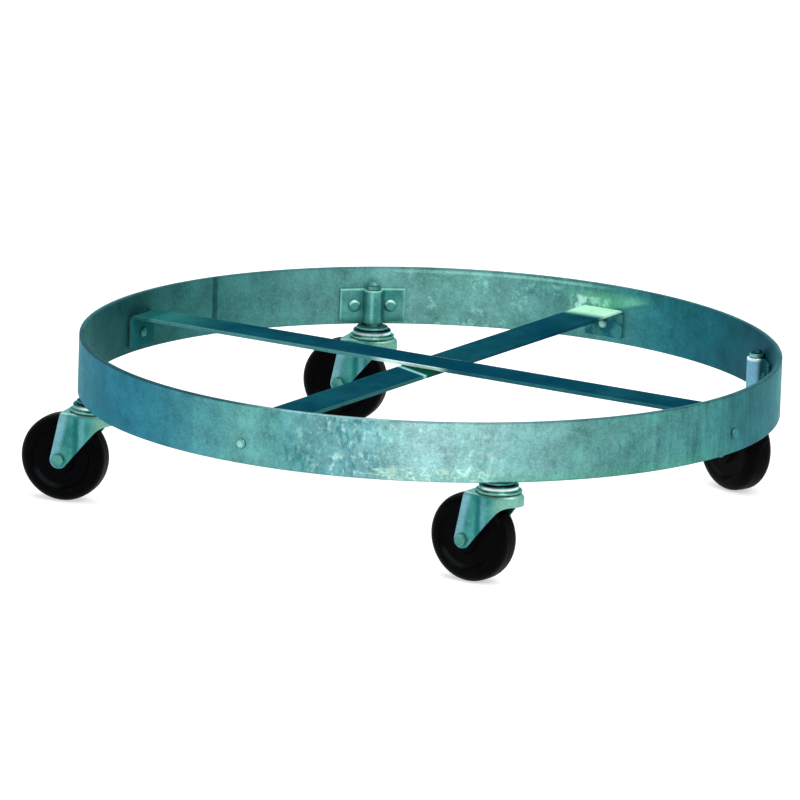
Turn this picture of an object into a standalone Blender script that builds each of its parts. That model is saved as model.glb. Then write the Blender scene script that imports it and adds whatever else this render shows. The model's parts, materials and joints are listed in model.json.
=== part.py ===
"""Drum dolly: a rolled steel hoop with two cross braces, standing on four swivel casters.

The origin is on the hoop's axis, at the top face of the upper brace, where the drum's
bottom rests. +Z is up, and the casters stand close to the X and Y axes. Units are metres.
"""

import math

import bmesh
import bpy

MM = 0.001
FIT = 0.3 * MM                       # gap left between touching pieces

# Hoop: a flat strip on edge, rolled to a ring that a 55 gallon drum drops into
HOOP_INNER_R = 304.8 * MM
BAND_THICK = 4.8 * MM
BAND_HEIGHT = 52.4 * MM
RIM_Z = 16.7 * MM
BAND_BOTTOM_Z = RIM_Z - BAND_HEIGHT
HOOP_OUTER_R = HOOP_INNER_R + BAND_THICK
HOOP_STEPS = 90

# Cross braces: flat bars whose ends are bent down and riveted to the band
BRACE_WIDTH = 38.1 * MM
BRACE_THICK = 3.2 * MM
BRACE_BEND_R = 4.0 * MM              # radius of the bend at mid-thickness
TAB_BOTTOM_Z = -30.0 * MM
TAB_RIVET_Z = -18.0 * MM
LOWER_BRACE_DEG = 47.4
UPPER_BRACE_DEG = LOWER_BRACE_DEG - 90.0

# Sockets: straps bent round the caster stems and fixed to the band's inner face
STEM_CIRCLE_R = 298.0 * MM
SOCKET_TOP_Z = -2.4 * MM
SOCKET_BOTTOM_Z = -32.9 * MM
SOCKET_SHEET = 2.6 * MM
SOCKET_BORE_R = 5.9 * MM
SOCKET_BEND_R = 2.2 * MM             # radius of the bends at mid-thickness
SOCKET_HALF_WIDTH = 30.0 * MM
SOCKET_RIVET_OFFSET = 16.5 * MM
SOCKET_RIVET_Z = -18.0 * MM

# Rivets
RIVET_R = 3.1 * MM
RIVET_HOLE_R = 3.35 * MM
RIVET_SIDES = 12
SOCKET_HEAD_R = 5.8 * MM
SOCKET_HEAD_RISE = 3.0 * MM
BRACE_HEAD_R = 4.6 * MM
BRACE_HEAD_RISE = 2.4 * MM

# Swivel: the stem is fixed, and the fork turns about it on a ring of balls
STEM_R = 5.55 * MM
STEM_NECK_R = 4.7 * MM
STEM_TOP_Z = 4.4 * MM
GROOVE_R = 4.3 * MM
GRIP_RING_LOW_Z = -1.9 * MM
GRIP_RING_HIGH_Z = 1.3 * MM
GRIP_RING_OUTER_R = 6.4 * MM
GRIP_RING_GAP_DEG = 36.0
WASHER_R = 14.2 * MM
WASHER_TOP_Z = BAND_BOTTOM_Z - FIT
WASHER_THICK = 2.0 * MM
RACEWAY_TOP_Z = WASHER_TOP_Z - WASHER_THICK - FIT
RACEWAY_TOP_R = 17.0 * MM
RACEWAY_RIM_R = 20.2 * MM
CROWN_TOP_Z = -46.0 * MM
RACEWAY_RIM_Z = CROWN_TOP_Z + 0.4 * MM
RACEWAY_SHEET = 2.2 * MM
BALL_CIRCLE_R = 12.2 * MM
BALL_R = 2.4 * MM
STEM_HEAD_R = 7.0 * MM
STEM_HEAD_THICK = 3.0 * MM

# Wheel and axle
WHEEL_R = 39.0 * MM
WHEEL_HALF_WIDTH = 14.2 * MM
SHOULDER_R = 10.0 * MM                # rounding between the tread and the side
HUB_R = 12.0 * MM
HUB_HALF_WIDTH = 15.6 * MM
DISH_DEPTH = 2.0 * MM
RIM_INNER_R = 27.5 * MM
WHEEL_BORE_R = 6.4 * MM
WHEEL_TRAIL = 24.0 * MM              # axle's distance behind the swivel axis
AXLE_Z = -88.8 * MM
BUSHING_R = 6.1 * MM
BUSHING_BORE_R = 4.3 * MM
BOLT_R = 3.9 * MM
BOLT_HEAD_R = 6.0 * MM               # across the corners
BOLT_HEAD_THICK = 2.8 * MM
NUT_THICK = 5.4 * MM
BOLT_TIP_PROUD = 2.2 * MM            # thread left beyond the nut

# Fork: one steel pressing with a crown, a rounded front skirt and two legs
FORK_SHEET = 2.5 * MM
FORK_HALF_WIDTH = 19.0 * MM
CROWN_FRONT = 24.0 * MM              # reach ahead of the swivel axis
SKIRT_START = 7.0 * MM               # the straight sides end here, behind the axis
SKIRT_DROP = 9.9 * MM
LEG_END_R = 8.0 * MM
LEG_SLOPE_DEG = 51.0                 # slope of the leg's front edge
REAR_LEAN_DEG = 11.4                 # lean of the leg's rear edge
SKIRT_FILLET_R = 18.0 * MM
CROWN_BEND_R = 3.2 * MM
FORK_BLANK = 90.0 * MM               # depth and rear reach of the blank before trimming

# Where each caster stands, and which way its wheel trails, as angles from +X
CASTERS = {
    "right": (2.4, 116.5),
    "back": (88.8, 148.8),
    "left": (176.9, 150.5),
    "front": (270.5, 135.0),
}

CLEAR = 20.0 * MM                    # how far a cutter runs past what it cuts

# Colour, roughness and metallic value of each finish
FINISHES = {
    "galvanised_band": ((0.36, 0.56, 0.55), 0.45, 0.8),
    "galvanised_bar": ((0.10, 0.30, 0.36), 0.45, 0.8),
    "galvanised_strap": ((0.30, 0.52, 0.50), 0.45, 0.8),
    "rivet_steel": ((0.42, 0.60, 0.60), 0.40, 0.9),
    "zinc_plate": ((0.45, 0.66, 0.62), 0.30, 1.0),
    "ball_steel": ((0.60, 0.62, 0.64), 0.20, 1.0),
    "black_rubber": ((0.012, 0.013, 0.015), 0.55, 0.0),
}


# --- materials and collections ------------------------------------------------------

def clear_scene():
    for obj in list(bpy.data.objects):
        bpy.data.objects.remove(obj, do_unlink=True)


def make_collection(name):
    collection = bpy.data.collections.new(name)
    bpy.context.scene.collection.children.link(collection)
    return collection


def make_material(name, color, roughness, metallic):
    material = bpy.data.materials.new(name)
    material.use_nodes = True
    shader = material.node_tree.nodes["Principled BSDF"]
    shader.inputs["Base Color"].default_value = (*color, 1.0)
    shader.inputs["Roughness"].default_value = roughness
    shader.inputs["Metallic"].default_value = metallic
    return material


# --- outlines -----------------------------------------------------------------------

def arc(center, radius, start_deg, end_deg, steps):
    """Points along an arc, both ends included."""
    points = []
    for i in range(steps + 1):
        angle = math.radians(start_deg + (end_deg - start_deg) * i / steps)
        points.append((center[0] + radius * math.cos(angle), center[1] + radius * math.sin(angle)))
    return points


def both_sides(half):
    """A half outline whose last point is on the X axis, and its mirror image."""
    return half + [(x, -y) for x, y in reversed(half[:-1])]


# --- solids -------------------------------------------------------------------------

def add_object(name, mesh, collection, material=None):
    obj = bpy.data.objects.new(name, mesh)
    collection.objects.link(obj)
    if material:
        mesh.materials.append(material)
    return obj


def turned(name, profile, steps, collection, material, closed=False):
    """A turned solid about Z from (radius, z) points that run down its outer side."""
    mesh = bpy.data.meshes.new(name)
    edges = [(i, i + 1) for i in range(len(profile) - 1)]
    if closed:
        edges.append((len(profile) - 1, 0))
    mesh.from_pydata([(r, 0.0, z) for r, z in profile], edges, [])
    obj = add_object(name, mesh, collection, material)
    screw = obj.modifiers.new("turn", "SCREW")
    screw.steps = steps
    screw.render_steps = steps
    screw.use_merge_vertices = True
    screw.merge_threshold = 0.00001
    screw.use_smooth_shade = True
    return obj


def bent_sheet(name, path, low, high, thickness, collection, material):
    """A sheet whose middle line in plan is path, standing from low to high along Z."""
    mesh = bpy.data.meshes.new(name)
    count = len(path)
    verts = [(x, y, low) for x, y in path] + [(x, y, high) for x, y in path]
    faces = [(i, i + 1, count + i + 1, count + i) for i in range(count - 1)]
    mesh.from_pydata(verts, [], faces)
    obj = add_object(name, mesh, collection, material)
    solidify = obj.modifiers.new("sheet", "SOLIDIFY")
    solidify.thickness = thickness
    solidify.offset = 0.0
    solidify.use_even_offset = True
    return obj


def outline_solid(name, points, depth, collection, material=None):
    """A flat outline in XY with depth along Z, centred on its own plane."""
    curve = bpy.data.curves.new(name + "_outline", "CURVE")
    curve.dimensions = "2D"
    curve.fill_mode = "BOTH"
    curve.extrude = depth / 2
    spline = curve.splines.new("POLY")
    spline.points.add(len(points) - 1)
    for point, (x, y) in zip(spline.points, points):
        point.co = (x, y, 0.0, 1.0)
    spline.use_cyclic_u = True
    source = bpy.data.objects.new(name + "_outline", curve)
    collection.objects.link(source)
    bpy.context.view_layer.update()
    evaluated = source.evaluated_get(bpy.context.evaluated_depsgraph_get())
    mesh = bpy.data.meshes.new_from_object(evaluated)
    bpy.data.objects.remove(source, do_unlink=True)
    work = bmesh.new()
    work.from_mesh(mesh)
    bmesh.ops.remove_doubles(work, verts=work.verts, dist=0.00001)
    bmesh.ops.recalc_face_normals(work, faces=work.faces)
    work.to_mesh(mesh)
    work.free()
    mesh.name = name
    mesh.materials.clear()
    return add_object(name, mesh, collection, material)


def rod(name, radius, length, sides, collection, material=None):
    """A cylinder, or a prism of few sides, along Z and centred on its own origin."""
    mesh = bpy.data.meshes.new(name)
    work = bmesh.new()
    bmesh.ops.create_cone(work, cap_ends=True, segments=sides, radius1=radius,
                          radius2=radius, depth=length)
    work.to_mesh(mesh)
    work.free()
    return add_object(name, mesh, collection, material)


def combine(obj, tool, operation):
    """Cuts obj with the tool, joins it or trims it to it. The tool is left out of the part."""
    tool.hide_render = True
    tool.display_type = "WIRE"
    boolean = obj.modifiers.new(operation.lower(), "BOOLEAN")
    boolean.operation = operation
    boolean.object = tool
    boolean.solver = "EXACT"


def round_edges(obj, width, segments):
    bevel = obj.modifiers.new("rounding", "BEVEL")
    bevel.width = width
    bevel.segments = segments
    bevel.limit_method = "ANGLE"
    bevel.angle_limit = math.radians(60)


def lay_radial(obj, angle_deg, radius, z):
    """Lays the object's own Z axis along the hoop's radius, pointing outwards."""
    angle = math.radians(angle_deg)
    obj.location = (radius * math.cos(angle), radius * math.sin(angle), z)
    obj.rotation_euler = (0.0, math.radians(90), angle)


# --- hoop, sockets and braces -------------------------------------------------------

def make_hoop(parts, finish):
    profile = [
        (HOOP_OUTER_R, RIM_Z),
        (HOOP_OUTER_R, BAND_BOTTOM_Z),
        (HOOP_INNER_R, BAND_BOTTOM_Z),
        (HOOP_INNER_R, RIM_Z),
    ]
    return turned("hoop_band", profile, HOOP_STEPS, parts, finish["galvanised_band"], closed=True)


def rivet_hole(name, angle_deg, z, pieces, cutters):
    """Drills the same hole along the hoop's radius through each of the pieces."""
    drill = rod(name, RIVET_HOLE_R, 2 * CLEAR, RIVET_SIDES, cutters)
    lay_radial(drill, angle_deg, HOOP_INNER_R, z)
    for piece in pieces:
        combine(piece, drill, "DIFFERENCE")


def make_rivet(name, grip, head_r, head_rise, tail, parts, material):
    """A rivet along Z, its domed head below z = 0 and the points of its tail above grip."""
    profile = tail + [
        (RIVET_R, grip),
        (RIVET_R, 0.0),
        (head_r, 0.0),
        (0.86 * head_r, -0.5 * head_rise),
        (0.5 * head_r, -0.87 * head_rise),
        (0.0, -head_rise),
    ]
    return turned(name, profile, RIVET_SIDES, parts, material)


def socket_path():
    """Middle line of the strap in plan, with X outwards and the stem's axis at 0."""
    bulge_r = SOCKET_BORE_R + SOCKET_SHEET / 2
    wing_r = HOOP_INNER_R - FIT - SOCKET_SHEET / 2
    side = bulge_r + SOCKET_BEND_R
    wing_x = math.sqrt(wing_r ** 2 - side ** 2) - STEM_CIRCLE_R
    hoop_center = (-STEM_CIRCLE_R, 0.0)
    start_deg = math.degrees(math.asin(SOCKET_HALF_WIDTH / wing_r))
    end_deg = math.degrees(math.asin(side / wing_r))
    wing = arc(hoop_center, wing_r, start_deg, end_deg, 4)
    bend = arc((wing_x - SOCKET_BEND_R, side), SOCKET_BEND_R, 0.0, -90.0, 3)
    bulge = arc((0.0, 0.0), bulge_r, 90.0, 180.0, 6)
    return both_sides(wing + bend[1:] + bulge)


def make_socket(label, angle_deg, hoop, parts, cutters, finish):
    """The strap round one stem, and the two rivets through its wings."""
    strap = bent_sheet(f"socket_{label}", socket_path(), SOCKET_BOTTOM_Z, SOCKET_TOP_Z,
                       SOCKET_SHEET, parts, finish["galvanised_strap"])
    angle = math.radians(angle_deg)
    strap.location = (STEM_CIRCLE_R * math.cos(angle), STEM_CIRCLE_R * math.sin(angle), 0.0)
    strap.rotation_euler = (0.0, 0.0, angle)
    wing_face_r = HOOP_INNER_R - FIT - SOCKET_SHEET
    seat_r = wing_face_r - FIT
    grip = HOOP_OUTER_R - FIT - seat_r
    offset_deg = math.degrees(math.asin(SOCKET_RIVET_OFFSET / wing_face_r))
    for side, turn_deg in (("a", -offset_deg), ("b", offset_deg)):
        at_deg = angle_deg + turn_deg
        rivet_hole(f"drill_socket_{label}_{side}", at_deg, SOCKET_RIVET_Z, (hoop, strap), cutters)
        rivet = make_rivet(f"socket_rivet_{label}_{side}", grip, SOCKET_HEAD_R,
                           SOCKET_HEAD_RISE, [(0.0, grip)], parts, finish["rivet_steel"])
        lay_radial(rivet, at_deg, seat_r, SOCKET_RIVET_Z)


def make_brace(name, angle_deg, top_z, hoop, parts, cutters, finish):
    """One flat bar with its ends bent down, and the rivet through each end."""
    corner_r = HOOP_INNER_R - FIT
    tab_face = math.sqrt(corner_r ** 2 - (BRACE_WIDTH / 2) ** 2)
    tab_x = tab_face - BRACE_THICK / 2
    mid_z = top_z - BRACE_THICK / 2
    bend = arc((tab_x - BRACE_BEND_R, mid_z - BRACE_BEND_R), BRACE_BEND_R, 0.0, 90.0, 4)
    half = [(tab_x, TAB_BOTTOM_Z)] + bend
    path = half + [(-x, z) for x, z in reversed(half)]
    bar = bent_sheet(name, path, -BRACE_WIDTH / 2, BRACE_WIDTH / 2, BRACE_THICK, parts,
                     finish["galvanised_bar"])
    bar.rotation_euler = (math.radians(90), 0.0, math.radians(angle_deg))
    seat_r = tab_face - BRACE_THICK - FIT
    grip = HOOP_OUTER_R + FIT - seat_r
    tail = [
        (0.0, grip + BRACE_HEAD_RISE),
        (0.5 * BRACE_HEAD_R, grip + 0.87 * BRACE_HEAD_RISE),
        (0.86 * BRACE_HEAD_R, grip + 0.5 * BRACE_HEAD_RISE),
        (BRACE_HEAD_R, grip),
    ]
    for side, turn_deg in (("a", 0.0), ("b", 180.0)):
        at_deg = angle_deg + turn_deg
        rivet_hole(f"drill_{name}_{side}", at_deg, TAB_RIVET_Z, (hoop, bar), cutters)
        rivet = make_rivet(f"{name}_rivet_{side}", grip, BRACE_HEAD_R, BRACE_HEAD_RISE, tail,
                           parts, finish["rivet_steel"])
        lay_radial(rivet, at_deg, seat_r, TAB_RIVET_Z)


# --- swivel pieces, all turned about the stem's axis --------------------------------

def make_stem(name, parts, material):
    groove_low = GRIP_RING_LOW_Z - FIT
    groove_high = GRIP_RING_HIGH_Z + FIT
    shoulder_z = RACEWAY_TOP_Z + FIT
    head_top = CROWN_TOP_Z - FORK_SHEET - FIT
    profile = [
        (0.0, STEM_TOP_Z),
        (0.6 * STEM_R, STEM_TOP_Z - 0.4 * MM),
        (0.95 * STEM_R, groove_high + 0.8 * MM),
        (0.95 * STEM_R, groove_high),
        (GROOVE_R, groove_high),
        (GROOVE_R, groove_low),
        (STEM_R, groove_low),
        (STEM_R, shoulder_z),
        (STEM_NECK_R, shoulder_z),
        (STEM_NECK_R, head_top),
        (STEM_HEAD_R, head_top),
        (0.8 * STEM_HEAD_R, head_top - 0.8 * STEM_HEAD_THICK),
        (0.0, head_top - STEM_HEAD_THICK),
    ]
    return turned(name, profile, 16, parts, material)


def make_grip_ring(name, parts, material):
    """A split spring ring in the stem's groove, just above the socket."""
    inner_r = GROOVE_R + FIT
    mid_r = (inner_r + GRIP_RING_OUTER_R) / 2
    half_gap = GRIP_RING_GAP_DEG / 2
    path = arc((0.0, 0.0), mid_r, half_gap, 360.0 - half_gap, 14)
    return bent_sheet(name, path, GRIP_RING_LOW_Z, GRIP_RING_HIGH_Z,
                      GRIP_RING_OUTER_R - inner_r, parts, material)


def make_washer(name, parts, material):
    inner_r = STEM_R + FIT
    low = WASHER_TOP_Z - WASHER_THICK
    profile = [(WASHER_R, WASHER_TOP_Z), (WASHER_R, low), (inner_r, low), (inner_r, WASHER_TOP_Z)]
    return turned(name, profile, 20, parts, material, closed=True)


def make_raceway(name, parts, material):
    """The pressed cup over the balls, which the stem's shoulder bears on."""
    ceiling = RACEWAY_TOP_Z - RACEWAY_SHEET
    inner_r = STEM_NECK_R + FIT
    profile = [
        (RACEWAY_TOP_R - 0.9 * MM, RACEWAY_TOP_Z),
        (RACEWAY_TOP_R, RACEWAY_TOP_Z - 0.8 * MM),
        (RACEWAY_RIM_R, RACEWAY_RIM_Z + 0.8 * MM),
        (RACEWAY_RIM_R, RACEWAY_RIM_Z),
        (RACEWAY_RIM_R - RACEWAY_SHEET, RACEWAY_RIM_Z),
        (BALL_CIRCLE_R + BALL_R + FIT, ceiling),
        (inner_r, ceiling),
        (inner_r, RACEWAY_TOP_Z),
    ]
    return turned(name, profile, 24, parts, material, closed=True)


def make_ball_ring(name, parts, material):
    """The circle of balls between the raceway and the crown, as one ring."""
    center = (BALL_CIRCLE_R, CROWN_TOP_Z + BALL_R + FIT)
    section = arc(center, BALL_R, 90.0, -270.0, 6)
    return turned(name, section[:-1], 20, parts, material, closed=True)


# --- fork, modelled in its own frame: X trails behind the swivel axis, Y is the axle -

def fork_plan(half_width, front, rear):
    """Plan outline: straight sides behind, and a front rounded like an ellipse."""
    nose = arc((0.0, 0.0), 1.0, 90.0, 180.0, 8)
    rounded = [(SKIRT_START + x * (front + SKIRT_START), y * half_width) for x, y in nose]
    return both_sides([(rear, half_width)] + rounded)


def fork_side():
    """Side outline as (x, z): what the pressing keeps once its edges are trimmed."""
    slope = math.radians(LEG_SLOPE_DEG)
    top = CROWN_TOP_Z + CLEAR
    lip_z = CROWN_TOP_Z - SKIRT_DROP
    leg_end = arc((WHEEL_TRAIL, AXLE_Z), LEG_END_R, REAR_LEAN_DEG, -90.0 - LEG_SLOPE_DEG, 9)
    rear_x, rear_z = leg_end[0]
    front_x, front_z = leg_end[-1]
    corner_x = front_x - (lip_z - front_z) / math.tan(slope)
    reach = SKIRT_FILLET_R * math.tan(slope / 2)
    center = (corner_x - reach, lip_z - SKIRT_FILLET_R)
    fillet = arc(center, SKIRT_FILLET_R, 90.0 - LEG_SLOPE_DEG, 90.0, 4)
    top_x = rear_x - (top - rear_z) * math.tan(math.radians(REAR_LEAN_DEG))
    nose_x = -CROWN_FRONT - CLEAR
    return [(top_x, top)] + leg_end + fillet + [(nose_x, lip_z), (nose_x, top)]


def make_fork(name, swivel, parts, cutters, material):
    """A rounded blank trimmed to its side outline, hollowed for the wheel and drilled."""
    fork = outline_solid(name, fork_plan(FORK_HALF_WIDTH, CROWN_FRONT, FORK_BLANK),
                         FORK_BLANK, parts, material)
    fork.parent = swivel
    fork.location = (0.0, 0.0, CROWN_TOP_Z - FORK_BLANK / 2)
    round_edges(fork, CROWN_BEND_R, 3)

    side = outline_solid(f"trim_{name}", fork_side(), 4 * CLEAR, cutters)
    side.parent = swivel
    side.rotation_euler = (math.radians(90), 0.0, 0.0)
    combine(fork, side, "INTERSECT")

    inner_plan = fork_plan(FORK_HALF_WIDTH - FORK_SHEET, CROWN_FRONT - FORK_SHEET,
                           FORK_BLANK + CLEAR)
    hollow = outline_solid(f"hollow_{name}", inner_plan, FORK_BLANK, cutters)
    hollow.parent = swivel
    hollow.location = (0.0, 0.0, CROWN_TOP_Z - FORK_SHEET - FORK_BLANK / 2)
    round_edges(hollow, CROWN_BEND_R - FORK_SHEET, 1)
    combine(fork, hollow, "DIFFERENCE")

    stem_hole = rod(f"drill_stem_{name}", STEM_NECK_R + FIT, 2 * CLEAR, 16, cutters)
    stem_hole.parent = swivel
    stem_hole.location = (0.0, 0.0, CROWN_TOP_Z)
    combine(fork, stem_hole, "DIFFERENCE")

    axle_hole = rod(f"drill_axle_{name}", BOLT_R + FIT, 4 * CLEAR, 16, cutters)
    place_on_axle(axle_hole, swivel)
    combine(fork, axle_hole, "DIFFERENCE")
    return fork


# --- wheel and axle, along Z until they are placed on the axle ----------------------

def place_on_axle(obj, swivel, along=0.0):
    """Puts the object on the wheel's axle, its own Z axis along the fork's Y axis."""
    obj.parent = swivel
    obj.location = (WHEEL_TRAIL, along, AXLE_Z)
    obj.rotation_euler = (math.radians(-90), 0.0, 0.0)


def make_wheel(name, parts, material):
    """A solid wheel with a rounded tread, dished sides and a plain bored hub."""
    shoulder = (WHEEL_R - SHOULDER_R, WHEEL_HALF_WIDTH - SHOULDER_R)
    dish = WHEEL_HALF_WIDTH - DISH_DEPTH
    half = arc(shoulder, SHOULDER_R, 0.0, 90.0, 4) + [
        (RIM_INNER_R, WHEEL_HALF_WIDTH),
        (RIM_INNER_R - DISH_DEPTH, dish),
        (HUB_R + DISH_DEPTH, dish),
        (HUB_R, HUB_HALF_WIDTH),
        (WHEEL_BORE_R, HUB_HALF_WIDTH),
    ]
    profile = list(reversed(half)) + [(r, -z) for r, z in half]
    return turned(name, profile, 28, parts, material, closed=True)


def make_bushing(name, parts, material):
    """The spacer tube between the legs, which the wheel turns on."""
    half = FORK_HALF_WIDTH - FORK_SHEET - FIT
    profile = [(BUSHING_R, half), (BUSHING_R, -half), (BUSHING_BORE_R, -half), (BUSHING_BORE_R, half)]
    return turned(name, profile, 16, parts, material, closed=True)


def make_bolt(name, swivel, parts, cutters, material):
    """A hexagon head bolt through both legs. Its head is on the fork's +Y side."""
    seat = FORK_HALF_WIDTH + FIT
    tip = seat + NUT_THICK + BOLT_TIP_PROUD
    length = seat + tip + BOLT_HEAD_THICK / 2
    head = rod(name, BOLT_HEAD_R, BOLT_HEAD_THICK, 6, parts, material)
    place_on_axle(head, swivel, seat + BOLT_HEAD_THICK / 2)
    shank = rod(f"shank_{name}", BOLT_R, length, 16, cutters)
    place_on_axle(shank, swivel, length / 2 - tip)
    combine(head, shank, "UNION")
    return head


def make_nut(name, swivel, parts, cutters, material):
    nut = rod(name, BOLT_HEAD_R, NUT_THICK, 6, parts, material)
    along = -FORK_HALF_WIDTH - FIT - NUT_THICK / 2
    place_on_axle(nut, swivel, along)
    bore = rod(f"bore_{name}", BOLT_R + FIT, 2 * CLEAR, 16, cutters)
    place_on_axle(bore, swivel, along)
    combine(nut, bore, "DIFFERENCE")
    return nut


def make_caster(label, angle_deg, trail_deg, parts, cutters, finish):
    """One swivel caster, hung on an empty whose Z axis is the swivel axis."""
    zinc = finish["zinc_plate"]
    angle = math.radians(angle_deg)
    swivel = bpy.data.objects.new(f"swivel_{label}", None)
    parts.objects.link(swivel)
    swivel.location = (STEM_CIRCLE_R * math.cos(angle), STEM_CIRCLE_R * math.sin(angle), 0.0)
    swivel.rotation_euler = (0.0, 0.0, math.radians(trail_deg))
    fixed = (
        make_stem(f"stem_{label}", parts, zinc),
        make_grip_ring(f"grip_ring_{label}", parts, finish["ball_steel"]),
        make_washer(f"thrust_washer_{label}", parts, zinc),
        make_raceway(f"raceway_{label}", parts, zinc),
        make_ball_ring(f"ball_ring_{label}", parts, finish["ball_steel"]),
    )
    for piece in fixed:
        piece.parent = swivel
    make_fork(f"fork_{label}", swivel, parts, cutters, zinc)
    make_bolt(f"axle_bolt_{label}", swivel, parts, cutters, zinc)
    make_nut(f"axle_nut_{label}", swivel, parts, cutters, zinc)
    place_on_axle(make_wheel(f"wheel_{label}", parts, finish["black_rubber"]), swivel)
    place_on_axle(make_bushing(f"bushing_{label}", parts, finish["ball_steel"]), swivel)


def build():
    clear_scene()
    parts = make_collection("drum_dolly")
    cutters = make_collection("cutters")
    finish = {name: make_material(name, *values) for name, values in FINISHES.items()}
    hoop = make_hoop(parts, finish)
    make_brace("brace_upper", UPPER_BRACE_DEG, 0.0, hoop, parts, cutters, finish)
    make_brace("brace_lower", LOWER_BRACE_DEG, -BRACE_THICK - FIT, hoop, parts, cutters, finish)
    for label, (angle_deg, trail_deg) in CASTERS.items():
        make_socket(label, angle_deg, hoop, parts, cutters, finish)
        make_caster(label, angle_deg, trail_deg, parts, cutters, finish)


build()
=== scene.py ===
"""Looks of the drum dolly: finer meshes, materials, floor, light and camera."""

import json
import math

import bmesh
import bpy
from mathutils import Matrix, Quaternion, Vector


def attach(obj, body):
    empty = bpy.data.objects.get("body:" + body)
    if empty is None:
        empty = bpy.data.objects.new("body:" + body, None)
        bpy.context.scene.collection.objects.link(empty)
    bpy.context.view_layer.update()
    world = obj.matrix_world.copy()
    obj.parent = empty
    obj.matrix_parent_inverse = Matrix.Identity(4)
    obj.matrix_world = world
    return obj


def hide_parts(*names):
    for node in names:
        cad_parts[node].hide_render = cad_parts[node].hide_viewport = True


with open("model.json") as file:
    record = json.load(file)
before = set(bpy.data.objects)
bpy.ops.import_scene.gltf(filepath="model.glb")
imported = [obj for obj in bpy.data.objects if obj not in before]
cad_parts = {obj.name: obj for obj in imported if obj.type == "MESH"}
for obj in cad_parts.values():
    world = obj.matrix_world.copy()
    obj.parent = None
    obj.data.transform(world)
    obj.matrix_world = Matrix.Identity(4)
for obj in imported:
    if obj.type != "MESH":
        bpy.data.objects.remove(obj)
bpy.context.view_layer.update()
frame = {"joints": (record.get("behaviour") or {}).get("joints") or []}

MM = 0.001
FIT = 0.3 * MM

# Hoop and braces
HOOP_INNER_R = 304.8 * MM
BAND_THICK = 4.8 * MM
HOOP_OUTER_R = HOOP_INNER_R + BAND_THICK
RIM_Z = 16.7 * MM
BAND_BOTTOM_Z = -35.7 * MM
BRACE_WIDTH = 38.1 * MM
BRACE_THICK = 3.2 * MM
BRACE_BEND_R = 4.0 * MM
TAB_BOTTOM_Z = -30.0 * MM
TAB_RIVET_Z = -18.0 * MM
BRACES = {
    "brace_upper": (-42.6, 0.0),
    "brace_lower": (47.4, -BRACE_THICK - FIT),
}
SEAM_DEG = 118.4
SEAM_HALF_WIDTH = 1.0 * MM
SEAM_DEPTH = 0.9 * MM

# Sockets and rivets
SOCKET_TOP_Z = -2.4 * MM
SOCKET_BOTTOM_Z = -32.9 * MM
SOCKET_SHEET = 2.6 * MM
SOCKET_BORE_R = 5.9 * MM
SOCKET_BEND_R = 2.2 * MM
SOCKET_HALF_WIDTH = 30.0 * MM
SOCKET_RIVET_OFFSET = 16.5 * MM
SOCKET_RIVET_Z = -18.0 * MM
RIVET_R = 3.1 * MM
SOCKET_HEAD_R = 5.8 * MM
SOCKET_HEAD_RISE = 3.0 * MM
BRACE_HEAD_R = 4.6 * MM
BRACE_HEAD_RISE = 2.4 * MM

# Swivel
STEM_R = 5.55 * MM
STEM_NECK_R = 4.7 * MM
STEM_TOP_Z = 4.4 * MM
GROOVE_R = 4.3 * MM
GRIP_RING_LOW_Z = -1.9 * MM
GRIP_RING_HIGH_Z = 1.3 * MM
GRIP_RING_OUTER_R = 6.4 * MM
GRIP_RING_GAP_DEG = 36.0
WASHER_R = 14.2 * MM
WASHER_TOP_Z = BAND_BOTTOM_Z - FIT
WASHER_THICK = 2.0 * MM
RACEWAY_TOP_Z = WASHER_TOP_Z - WASHER_THICK - FIT
RACEWAY_TOP_R = 17.0 * MM
RACEWAY_RIM_R = 20.2 * MM
CROWN_TOP_Z = -46.0 * MM
RACEWAY_RIM_Z = CROWN_TOP_Z + 0.4 * MM
RACEWAY_SHEET = 2.2 * MM
RACEWAY_STEP_Z = RACEWAY_RIM_Z + 2.8 * MM
BALL_CIRCLE_R = 12.2 * MM
BALL_R = 2.4 * MM
BALLS = 15
STEM_HEAD_R = 7.0 * MM
STEM_HEAD_THICK = 3.0 * MM

# Wheel and axle
WHEEL_R = 39.0 * MM
WHEEL_HALF_WIDTH = 14.2 * MM
SHOULDER_R = 10.0 * MM
HUB_R = 12.0 * MM
HUB_HALF_WIDTH = 15.6 * MM
DISH_DEPTH = 2.0 * MM
RIM_INNER_R = 27.5 * MM
WHEEL_BORE_R = 6.4 * MM
WHEEL_TRAIL = 24.0 * MM
AXLE_Z = -88.8 * MM
BUSHING_R = 6.1 * MM
BUSHING_BORE_R = 4.3 * MM
BOLT_R = 3.9 * MM
BOLT_HEAD_R = 6.0 * MM
BOLT_HEAD_THICK = 2.8 * MM
NUT_THICK = 5.4 * MM
BOLT_TIP_PROUD = 2.2 * MM

# Fork
FORK_SHEET = 2.5 * MM
FORK_HALF_WIDTH = 19.0 * MM
CROWN_FRONT = 24.0 * MM
SKIRT_START = 7.0 * MM
SKIRT_DROP = 9.9 * MM
LEG_END_R = 8.0 * MM
LEG_SLOPE_DEG = 51.0
REAR_LEAN_DEG = 11.4
SKIRT_FILLET_R = 18.0 * MM
CROWN_BEND_R = 3.2 * MM
FORK_BLANK = 90.0 * MM
CREASE_X = 8.5 * MM
CREASE_WIDTH = 2.0 * MM
CREASE_DEPTH = 0.55 * MM
CLEAR = 20.0 * MM

CASTERS = ("right", "back", "left", "front")

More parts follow.
